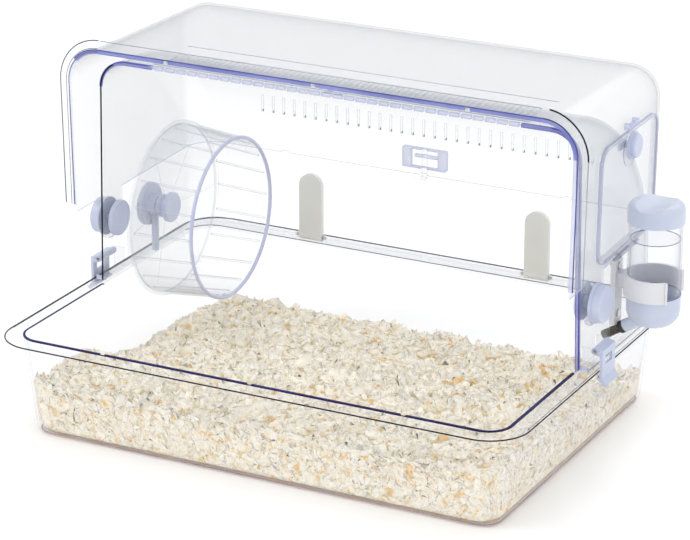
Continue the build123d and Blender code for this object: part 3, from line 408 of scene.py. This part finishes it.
# Moulded edges, where light piles up: darker and lighter colour, then how much of the light they stop. The pale,
# blue and violet bands are one tinted edge in lighter and darker copies: painted light and shade on the edge's
# own tint. The greys for slots and slits are painted shade inside them.
band_blue = edge_tint_and_shade("band_blue", (0.10, 0.12, 0.46), (0.24, 0.28, 0.66), 0.72)
band_violet = edge_tint_and_shade("band_violet", (0.18, 0.17, 0.46), (0.36, 0.37, 0.68), 0.66)
band_pale = edge_tint_and_shade("band_pale", (0.52, 0.56, 0.78), (0.70, 0.73, 0.88), 0.42)
edge_lavender = edge_tint_and_shade("edge_lavender", (0.52, 0.55, 0.78), (0.70, 0.72, 0.88), 0.42)
edge_white = edge_tint_and_shade("edge_white", (0.72, 0.74, 0.84), (0.86, 0.88, 0.94), 0.55)
slot_shade_grey = edge_tint_and_shade("slot_shade_grey", (0.36, 0.38, 0.48), (0.56, 0.58, 0.66), 0.55)
slit_shade_faint = edge_tint_and_shade("slit_shade_faint", (0.60, 0.63, 0.70), (0.76, 0.78, 0.82), 0.30)
door_rim = edge_tint_and_shade("door_rim", (0.26, 0.28, 0.48), (0.46, 0.48, 0.64), 0.42)

# Painted shade: fine dull dark and tinted lines along those edges, where the clear plastic looks dark.
DULL = {"rough": 0.5, "shine": 0.1}
shade_line_black = edge_tint_and_shade("shade_line_black", (0.003, 0.004, 0.010), (0.012, 0.012, 0.030), 1.0, **DULL)
shade_line_navy = edge_tint_and_shade("shade_line_navy", (0.008, 0.006, 0.060), (0.030, 0.024, 0.14), 1.0, **DULL)
shade_line_grey = edge_tint_and_shade("shade_line_grey", (0.10, 0.12, 0.19), (0.28, 0.31, 0.40), 0.82, **DULL)
shade_line_pale = edge_tint_and_shade("shade_line_pale", (0.36, 0.39, 0.46), (0.56, 0.59, 0.66), 0.62, **DULL)
shade_line_blue = edge_tint_and_shade("shade_line_blue", (0.05, 0.06, 0.30), (0.12, 0.13, 0.44), 0.92, **DULL)
shade_line_mauve = edge_tint_and_shade("shade_line_mauve", (0.40, 0.24, 0.36), (0.62, 0.42, 0.44), 0.75, **DULL)

# Opaque plastics, rubber and metal: darker and lighter colour, then roughness.
lavender = solid_plastic("lavender", (0.52, 0.565, 0.725), (0.58, 0.625, 0.775), 0.32)
wheel_lavender = solid_plastic("wheel_lavender", (0.50, 0.53, 0.72), (0.58, 0.61, 0.78), 0.32)
grey_clip = solid_plastic("grey_clip", (0.78, 0.78, 0.74), (0.84, 0.84, 0.80), 0.45)
strap_white = solid_plastic("strap_white", (0.70, 0.70, 0.74), (0.77, 0.77, 0.80), 0.35)
cap_frosted = solid_plastic("cap_frosted", (0.53, 0.58, 0.72), (0.60, 0.65, 0.77), 0.25)
seal_rubber = solid_plastic("seal_rubber", (0.02, 0.02, 0.022), (0.04, 0.04, 0.045), 0.6)
pin_steel = metal("pin_steel", (0.45, 0.45, 0.47), (0.62, 0.62, 0.64), 0.3)
tube_dark = metal("tube_dark", (0.05, 0.045, 0.045), (0.14, 0.12, 0.11), 0.25)

# Paper: colours over the coarse noise, then the scale of the fibres.
CREAM = [(0.24, (0.96, 0.88, 0.70)), (0.36, (0.97, 0.94, 0.86)), (0.50, (0.985, 0.975, 0.94)),
         (0.7, (0.99, 0.985, 0.97))]
AMBER = [(0.3, (0.92, 0.66, 0.28)), (0.6, (0.95, 0.82, 0.54)), (0.75, (0.97, 0.93, 0.80))]
# The block under the loose flakes gets a warmer, darker cream: painted shade for the gaps between the flakes.
CORE_SHADE = [(0.3, (0.94, 0.82, 0.56)), (0.7, (0.97, 0.91, 0.76))]
flake_cream = paper_flake("flake_cream", CREAM, 420)
flake_amber = paper_flake("flake_amber", AMBER, 420)
flake_core = paper_flake("flake_core", CORE_SHADE, 300)


# --- finishes on the CAD frame --------------------------------------------------------------------
# Where the parts' painted faces lie, in millimetres.
BEAD_Z, BEAD_BACK_Y, BEAD_HALF_X, BEAD_HALF_Y, BEAD_CORNER = 84.3, -21.9, 220.6, 162.1, 20
HOOD_EDGE_Y, HOOD_FOOT_Z, HOOD_SHOULDER_Z, HOOD_SHOULDER_X, HOOD_RIGHT_X = -15.7, 87.1, 262, 170, 205
SLOT_FRONT_Y, SLOT_BACK_Y, SLOT_Z, SLOTS_HALF_X = 2.9, 27.1, 282.9, 168
BAND_Y, BAND_HALF_X, BAND_TOP_Z, BAND_RIGHT_X, BAND_SHOULDER_Z = -49.45, 231, 292, 206, 255
COVER_INSIDE_Y, COVER_FOOT_Z = -47.2, 166.8
PANEL_Y, SLIT_FOOT_Z, SLIT_SILL_Z, SLIT_TOP_Z = 152, 199, 201, 216
THUMB_Y, THUMB_LOW_Z, THUMB_HIGH_Z = 157.5, 178.7, 181.7
WHEEL_Y, WHEEL_Z, DRUM_BACK_X, DRUM_RADIUS, DRUM_TAPER, RUNG_DEPTH = 53, 136, -191, 75.5, 0.0965, 1.75


def face_data(obj):
    """Centres in millimetres and unit normals of an object's faces."""
    mesh = obj.data
    count = len(mesh.polygons)
    centres, normals = np.zeros(count * 3, np.float32), np.zeros(count * 3, np.float32)
    mesh.polygons.foreach_get("center", centres)
    mesh.polygons.foreach_get("normal", normals)
    return centres.reshape(-1, 3) / MM, normals.reshape(-1, 3)


def paint(name, main, *rules):
    """Gives a CAD node its main material, and each rule's material to the faces that its test picks."""
    obj = nodes[name]
    obj.data.materials.clear()
    obj.data.materials.append(main)
    if rules:
        centres, normals = face_data(obj)
        index = np.zeros(len(centres), np.int32)
        for number, (material, test) in enumerate(rules, 1):
            obj.data.materials.append(material)
            index[test(centres, normals)] = number
        obj.data.polygons.foreach_set("material_index", index)
    obj.data.update()


def beyond(c, half_x, half_y, corner):
    """Outside a rounded rectangle of those half lengths: farther than the corner radius from the rectangle
    that is smaller by that radius on every side."""
    over_x, over_y = np.abs(c[:, 0]) - (half_x - corner), np.abs(c[:, 1]) - (half_y - corner)
    past = np.hypot(np.maximum(over_x, 0), np.maximum(over_y, 0)) + np.minimum(np.maximum(over_x, over_y), 0)
    return past > corner


def tray_bead(c, n):
    """The bead along the tray's open front: high faces in front of the hood, inside the flat rim."""
    return (c[:, 2] > BEAD_Z) & (c[:, 1] < BEAD_BACK_Y) & ~beyond(c, BEAD_HALF_X, BEAD_HALF_Y, BEAD_CORNER)


def hood_edge(c, low):
    """Faces of the hood's open front edge above a height."""
    return (c[:, 1] < HOOD_EDGE_Y) & (c[:, 2] > low)


def hood_slots(c, n):
    """Upright walls of the slots in the hood's top: the faces that get painted shade."""
    inside = (c[:, 1] > SLOT_FRONT_Y) & (c[:, 1] < SLOT_BACK_Y) & (np.abs(c[:, 0]) < SLOTS_HALF_X)
    return inside & (np.abs(n[:, 2]) < 0.3) & (c[:, 2] > SLOT_Z)


def band_corners(c, n):
    """Top and right shoulder of the band that frames the cover's mouth."""
    top_or_right = (c[:, 2] > BAND_TOP_Z) | (c[:, 0] > BAND_RIGHT_X)
    return (c[:, 1] < BAND_Y) & top_or_right & (c[:, 2] > BAND_SHOULDER_Z)


def cover_foot(c, n):
    """Lower edges of the cover's side walls and back panel, behind its band."""
    return (c[:, 1] > COVER_INSIDE_Y) & (c[:, 2] < COVER_FOOT_Z) & (n[:, 2] < -0.6)


def cover_slits(c, high):
    """Faces of the slits in the cover's panel, up to a height: the faces that get painted shade."""
    return (c[:, 1] > PANEL_Y) & (c[:, 2] > SLIT_FOOT_Z) & (c[:, 2] < high)


def bolt_thumb(c, n):
    """Sides of the thumb bar on the cover's bolt."""
    return (c[:, 1] > THUMB_Y) & (c[:, 2] > THUMB_LOW_Z) & (c[:, 2] < THUMB_HIGH_Z)


def wheel_rungs(c, n):
    """Rungs inside the running wheel's drum, which narrows from its back edge to the front."""
    inside = DRUM_RADIUS - (c[:, 0] - DRUM_BACK_X) * DRUM_TAPER - RUNG_DEPTH
    return np.hypot(c[:, 1] - WHEEL_Y, c[:, 2] - WHEEL_Z) < inside


# The tray's bead is painted dark navy: painted shade along the clear bead.
paint("base_tray", tray_clear, (shade_line_navy, tray_bead))
# The hood's open edge is pale on top, blue at the shoulders and violet down the right: lighter and darker copies
# of one tinted edge, painted as light and shade. The slots' walls are painted grey as shade inside the slots.
paint("hood", hood_clear,
      (band_pale, lambda c, n: hood_edge(c, HOOD_SHOULDER_Z)),
      (band_blue, lambda c, n: hood_edge(c, HOOD_SHOULDER_Z) & (np.abs(c[:, 0]) > HOOD_SHOULDER_X)),
      (band_violet, lambda c, n: hood_edge(c, HOOD_FOOT_Z) & (c[:, 0] > HOOD_RIGHT_X)),
      (slot_shade_grey, hood_slots))
# The cover's band is pale across its face and darker blue at the top and right shoulders: painted shade on its
# own tint. The slits' sides and sills are painted grey as shade inside the slits.
paint("front_cover", cover_clear,
      (band_pale, lambda c, n: (c[:, 1] < BAND_Y) & (np.abs(c[:, 0]) < BAND_HALF_X)),
      (band_blue, band_corners),
      (edge_lavender, cover_foot),
      (slit_shade_faint, lambda c, n: cover_slits(c, SLIT_TOP_Z) & (np.abs(n[:, 0]) > 0.7)),
      (slot_shade_grey, lambda c, n: cover_slits(c, SLIT_SILL_Z) & (n[:, 2] > 0.7)))
paint("side_door", door_clear, (door_rim, lambda c, n: np.abs(n[:, 0]) < 0.5))
paint("wheel_drum", wheel_clear, (rung_pale, wheel_rungs))
paint("cover_latch_bolt", cover_clear, (latch_clear, bolt_thumb))

# The pieces of one finish each.
PLAIN = [
    (lavender, ("wheel_hub", "wheel_axle", "wheel_axle_cap", "wheel_mount_nut", "wheel_mount_strut",
                "wheel_mount_disc", "pivot_pin_left", "pivot_pin_right", "pivot_cap_left", "pivot_cap_right",
                "corner_feet", "door_knob", "side_latch_left", "side_latch_right")),
    (wheel_clear, ("wheel_back_disc",)),
    (wheel_lavender, ("wheel_front_ring",)),
    (latch_clear, ("door_keeper", "cover_latch_frame")),
    (edge_white, ("latch_keeper",)),
    (grey_clip, ("rear_clip_left", "rear_clip_right")),
    (strap_white, ("wheel_bush", "bottle_bracket", "bottle_strap")),
    (pin_steel, ("latch_pin_left", "latch_pin_right", "rear_clip_pins", "bracket_screws", "door_hinge_pin",
                 "drinking_ball")),
    (bottle_clear, ("bottle_body",)),
    (water_clear, ("bottle_water",)),
    (cap_frosted, ("bottle_base", "bottle_cap")),
    (tube_dark, ("drinking_tube",)),
    (seal_rubber, ("tube_seal",)),
]
for finish, names in PLAIN:
    for name in names:
        paint(name, finish)

# --- bedding pieces -----------------------------------------------------------------------------------
core = heap_core()
# The block's warmer paper colour is painted shade for the gaps between the flakes.
core.data.materials.append(flake_core)
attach(core, "base")
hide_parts("bedding")
loose = [(top_flakes("bedding_top_a", 2500, 11, (-0.8, 3.6), BIG, WIDE), flake_cream),
         (top_flakes("bedding_top_b", 2500, 12, (-0.8, 3.6), BIG, WIDE), flake_cream),
         (top_flakes("bedding_top_small", 1800, 15, (-1.6, 1.0), SMALL, NARROW), flake_cream),
         (top_flakes("bedding_top_amber", 1100, 16, (0.2, 2.4), SMALL, NARROW), flake_amber),
         (wall_flakes("bedding_wall_a", 2400, 13, (0.0, 3.0), BIG, WIDE), flake_cream),
         (wall_flakes("bedding_wall_b", 2400, 14, (0.0, 3.0), BIG, WIDE), flake_cream),
         (wall_flakes("bedding_wall_amber", 1300, 17, (0.0, 1.4), SMALL, NARROW), flake_amber)]
for piece, material in loose:
    piece.data.materials.append(material)
    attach(piece, "base")


# --- painted shade: fine lines along the moulded edges -----------------------------------------------------
SIDES = 6                     # faces round one fine line
ARC_POINTS = 14               # points of one quarter circle
# Where the lines lie, in millimetres: the hood's open edge and foot, the cover's flange and foot, the hood's top
# with its slots, the cover's slits, and the bottle's axis.
EDGE_Y, EDGE_FOOT = -18.9, 88.0
MOUTH_FLANGE_Y, MOUTH_FOOT = -48.6, 165.6
VENT_Z, VENT_HALF, SLOT_ENDS, SLOT_PITCH = 285.6, 171.0, (3.0, 27.0), 5.5
SLIT_PITCH, SLIT_Y, SLIT_ENDS = 10.5, 154.6, (199.6, 201.6)
BOTTLE_AT = (256.0, 52.0)


def tube_along(path, radius, closed):
    """Points and corner numbers of a tube round a path of (n, 3) millimetre points. Each ring stands across
    the tangent t: centre + radius (cos a * e1 + sin a * e2), with e1 = t x y on a path that keeps its y,
    e1 = t x z on the others, and e2 = t x e1. Two quads close each end of an open tube."""
    path = np.asarray(path, float)
    ahead = np.roll(path, -1, 0) - np.roll(path, 1, 0)
    if not closed:
        ahead[0], ahead[-1] = path[1] - path[0], path[-1] - path[-2]
    t = ahead / np.linalg.norm(ahead, axis=1, keepdims=True)
    flat = np.abs(t[:, 1]).max() < 0.5
    up = np.array([0.0, 1.0, 0.0]) if flat else np.array([0.0, 0.0, 1.0])
    e1 = np.cross(t, up)
    e1 /= np.maximum(np.linalg.norm(e1, axis=1, keepdims=True), 1e-9)
    e2 = np.cross(t, e1)
    a = (np.arange(SIDES) * 2 * np.pi / SIDES)[None, :, None]
    rings = path[:, None] + radius * (np.cos(a) * e1[:, None] + np.sin(a) * e2[:, None])
    number = np.arange(len(path) * SIDES).reshape(len(path), SIDES)
    low = number if closed else number[:-1]
    high = np.roll(number, -1, 0) if closed else number[1:]
    quads = np.stack([low, np.roll(low, -1, 1), np.roll(high, -1, 1), high], -1).reshape(-1, 4)
    if not closed:
        ends = [[r[0], r[1], r[2], r[3]] for r in (number[0][::-1], number[-1])]
        ends += [[r[0], r[3], r[4], r[5]] for r in (number[0][::-1], number[-1])]
        quads = np.concatenate([quads, np.array(ends)])
    return rings.reshape(-1, 3), quads


def edge_lines(name, body, material, paths):
    """One piece of several tubes, each given by its path, its radius and whether it is closed."""
    points, quads, start = [], [], 0
    for path, radius, closed in paths:
        ring_points, ring_quads = tube_along(path, radius, closed)
        points.append(ring_points)
        quads.append(ring_quads + start)
        start += len(ring_points)
    obj = add_mesh(name, np.concatenate(points), np.concatenate(quads))
    obj.data.materials.append(material)
    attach(obj, body)


def corner_arc(centre, radius, start, end, count=ARC_POINTS):
    """(count, 2) points of an arc about centre between two angles in degrees."""
    a = np.radians(np.linspace(start, end, count))
    return np.stack([centre[0] + radius * np.cos(a), centre[1] + radius * np.sin(a)], -1)


def ring(centre, radius, z):
    """Closed circle at height z."""
    flat = corner_arc(centre, radius, 0, 350, 36)
    return np.column_stack([flat, np.full(len(flat), z)])


def rounded_loop(half_x, half_y, corner, z):
    """Closed rounded rectangle at height z: four quarter circles, anticlockwise from the back right corner,
    joined by straight sides."""
    arcs = [corner_arc((sx * (half_x - corner), sy * (half_y - corner)), corner, a, a + 90)
            for sx, sy, a in ((1, 1, 0), (-1, 1, 90), (-1, -1, 180), (1, -1, 270))]
    flat = np.concatenate(arcs)
    return np.column_stack([flat, np.full(len(flat), z)])


def back_half(loop):
    """The two back quarter circles of a rounded loop, and the side between them."""
    return loop[:2 * ARC_POINTS]


def arch(half_low, half_top, low, top, corner, y):
    """Upright arch in the plane y: foot, side, rounded shoulder, top, and down the other side."""
    arcs = [corner_arc((-half_top + corner, top - corner), corner, 180, 90),
            corner_arc((half_top - corner, top - corner), corner, 90, 0)]
    flat = np.concatenate([[(-half_low, low)], arcs[0], arcs[1], [(half_low, low)]])
    return np.column_stack([flat[:, 0], np.full(len(flat), y), flat[:, 1]])


def hood_arch(half_low, half_top, top, corner):
    """Arch in front of the hood's open edge."""
    return arch(half_low, half_top, EDGE_FOOT, top, corner, EDGE_Y)


def cover_arch(half_low, half_top, top, corner, y):
    """Arch round the cover's mouth."""
    return arch(half_low, half_top, MOUTH_FOOT, top, corner, y)


def part_of(path, keep):
    """The run of points that keep picks."""
    return path[keep(path)]


def run(start, end):
    """Straight path between two points."""
    return np.array([start, end])


def tray_lines():
    """Painted shade lines on the tray: the lip's outer edge, the rim's short sides and the foot."""
    edge_lines("line_rim_outer", "base", shade_line_black,
               [(rounded_loop(234.5, 176.0, 34.5, 84.6), 0.58, True)])
    edge_lines("line_rim_mid", "base", shade_line_grey,
               [(run((s * 232.6, -141.0, 85.1), (s * 232.6, 141.0, 85.1)), 0.25, False) for s in (-1, 1)])
    edge_lines("line_tray_foot", "base", shade_line_mauve,
               [(rounded_loop(209.6, 151.1, 16.8, 1.5), 0.55, True)])


def hood_lines():
    """Painted shade lines on the hood: its flange, and its open edge on the left, the top and the right."""
    sides = [(run((s * 229.2, -18.5, 87.1), (s * 229.2, 143.7, 87.1)), 0.3, False) for s in (-1, 1)]
    backs = [(back_half(rounded_loop(229.2, 169.7, 26, 87.1)), 0.38, False),
             (back_half(rounded_loop(220.9, 148.3, 23.5, 87.4)), 0.38, False)]
    edge_lines("line_flange", "base", shade_line_grey, sides + backs)
    left = part_of(hood_arch(220.9, 217.3, 285.3, 23.7), lambda p: (p[:, 0] < -150) & (p[:, 2] < 283.5))
    edge_lines("line_hood_left", "base", shade_line_black, [(left, 0.75, False)])
    shoulder = part_of(hood_arch(220.9, 217.3, 286.0, 24.5), lambda p: (p[:, 2] > 262) & (p[:, 0] < 0))
    edge_lines("line_hood_top", "base", shade_line_blue,
               [(shoulder, 0.5, False), (run((-193.0, EDGE_Y, 286.0), (-171.0, EDGE_Y, 286.0)), 0.5, False)])
    right = [part_of(path, lambda p: p[:, 0] > 150)
             for path in (hood_arch(221.8, 218.3, 286.0, 24.5), hood_arch(219.0, 215.4, 284.0, 22.5))]
    edge_lines("line_hood_right", "base", shade_line_blue,
               [(path, radius, False) for path, radius in zip(right, (0.55, 0.3))])


def cover_lines():
    """Painted shade lines on the cover: its flange on the left, the top and the right, and the band round its
    mouth.
    """
    flange = cover_arch(236.1, 237.9, 311.8, 37.8, MOUTH_FLANGE_Y)
    inner = cover_arch(226.5, 228.6, 302.6, 28.2, -50.4)
    outer = cover_arch(230.0, 231.6, 305.2, 31.0, -49.5)
    edge_lines("line_cover_left", "front_cover", shade_line_grey,
               [(part_of(flange, lambda p: p[:, 0] < -190), 0.5, False),
                (part_of(inner, lambda p: p[:, 0] < -195), 0.45, False),
                (part_of(outer, lambda p: p[:, 0] < -195), 0.3, False)])
    edge_lines("line_cover_top", "front_cover", shade_line_pale,
               [(run((-198.0, -48.9, 311.7), (198.0, -48.9, 311.7)), 0.35, False)])
    corner = part_of(flange, lambda p: (p[:, 0] > 203) & (p[:, 2] > 265))
    edge_lines("line_cover_corner", "front_cover", shade_line_black, [(corner, 0.75, False)])
    edge_lines("line_cover_right", "front_cover", shade_line_pale,
               [(run((237.9, MOUTH_FLANGE_Y, 274.0), (236.1, MOUTH_FLANGE_Y, MOUTH_FOOT)), 0.4, False),
                (run((233.0, -49.5, 272.0), (231.6, -49.5, MOUTH_FOOT)), 0.25, False)])
    band = cover_arch(228.2, 229.9, 304.2, 29.4, -50.5)
    edge_lines("line_cover_band", "front_cover", shade_line_blue,
               [(part_of(band, lambda p: p[:, 2] > 292), 0.5, False),
                (part_of(band, lambda p: p[:, 0] > 195), 0.5, False)])


def water_lines():
    """Painted shade rings in the bottle: the water's surface, and the top of the bottle's base."""
    edge_lines("line_water", "base", shade_line_blue,
               [(ring(BOTTLE_AT, 20.2, 182.6), 0.3, True), (ring(BOTTLE_AT, 22.0, 135.9), 0.35, True)])


def vent_lines():
    """Painted shade lines along and between the slots in the hood's top, and dark dots of painted shade at the
    foot of the cover's slits.
    """
    edges = [(run((-VENT_HALF, y, VENT_Z), (VENT_HALF, y, VENT_Z)), 0.35, False) for y in (-10.2, 48.0)]
    slots = [(run(*((i * SLOT_PITCH, y, 285.2) for y in SLOT_ENDS)), 0.32, False) for i in range(-30, 31)]
    edge_lines("line_vents", "base", shade_line_pale, edges + slots)
    slits = [(run(*((i * SLIT_PITCH, SLIT_Y, z) for z in SLIT_ENDS)), 0.55, False) for i in range(-15, 16)]
    edge_lines("line_slits", "front_cover", shade_line_navy, slits)


tray_lines()
hood_lines()
cover_lines()
water_lines()
vent_lines()


# --- floor, light and camera ------------------------------------------------------------------------------
def make_floor():
    """Flat pale floor under the tray."""
    half, z = 9000.0, -0.3
    points = [(-half, -half, z), (half, -half, z), (half, half, z), (-half, half, z)]
    floor = add_mesh("floor", points, [[0, 1, 2, 3]])
    material, tree, output = new_material("floor_pale")
    body = add_node(tree, "ShaderNodeBsdfPrincipled", Roughness=0.9)
    body.inputs["Base Color"].default_value = (0.98, 0.98, 0.98, 1)
    tree.links.new(body.outputs[0], output.inputs["Surface"])
    floor.data.materials.append(material)


def add_light(name, place, aim, size, watts):
    """Square white area light at place, in metres, turned to look at aim."""
    lamp = bpy.data.lights.new(name, "AREA")
    lamp.shape, lamp.size, lamp.energy = "SQUARE", size, watts
    obj = bpy.data.objects.new(name, lamp)
    bpy.context.scene.collection.objects.link(obj)
    obj.location = place
    obj.rotation_euler = (Vector(aim) - Vector(place)).to_track_quat("-Z", "Y").to_euler()


def make_world():
    """Even white surroundings."""
    world = bpy.data.worlds.new("studio")
    bpy.context.scene.world = world
    world.use_nodes = True
    background = world.node_tree.nodes["Background"]
    background.inputs["Color"].default_value = (1.0, 1.0, 1.0, 1)
    background.inputs["Strength"].default_value = 0.95


def add_camera():
    """Long lens, turned down and to the left, in front of the cage's right corner."""
    camera = bpy.data.cameras.new("camera")
    camera.sensor_width, camera.lens, camera.clip_end = 36.0, 165.56, 60.0
    obj = bpy.data.objects.new("camera", camera)
    bpy.context.scene.collection.objects.link(obj)
    obj.location = (1.1267, -2.1855, 1.0530)
    obj.rotation_euler = (math.radians(69.397), 0, math.radians(27.2125))
    bpy.context.scene.camera = obj


make_floor()
make_world()
add_light("key_left", (-1.6, -1.4, 2.2), (0, 0, 0.1), 1.2, 16)
add_light("fill_right", (1.8, -0.6, 1.6), (0, 0, 0.1), 1.6, 4)
add_light("back_top", (0.2, 1.8, 2.0), (0, 0, 0.15), 1.8, 9)
add_camera()
bpy.context.scene.view_settings.view_transform = "Standard"
bpy.context.scene.cycles.transparent_max_bounces = 48
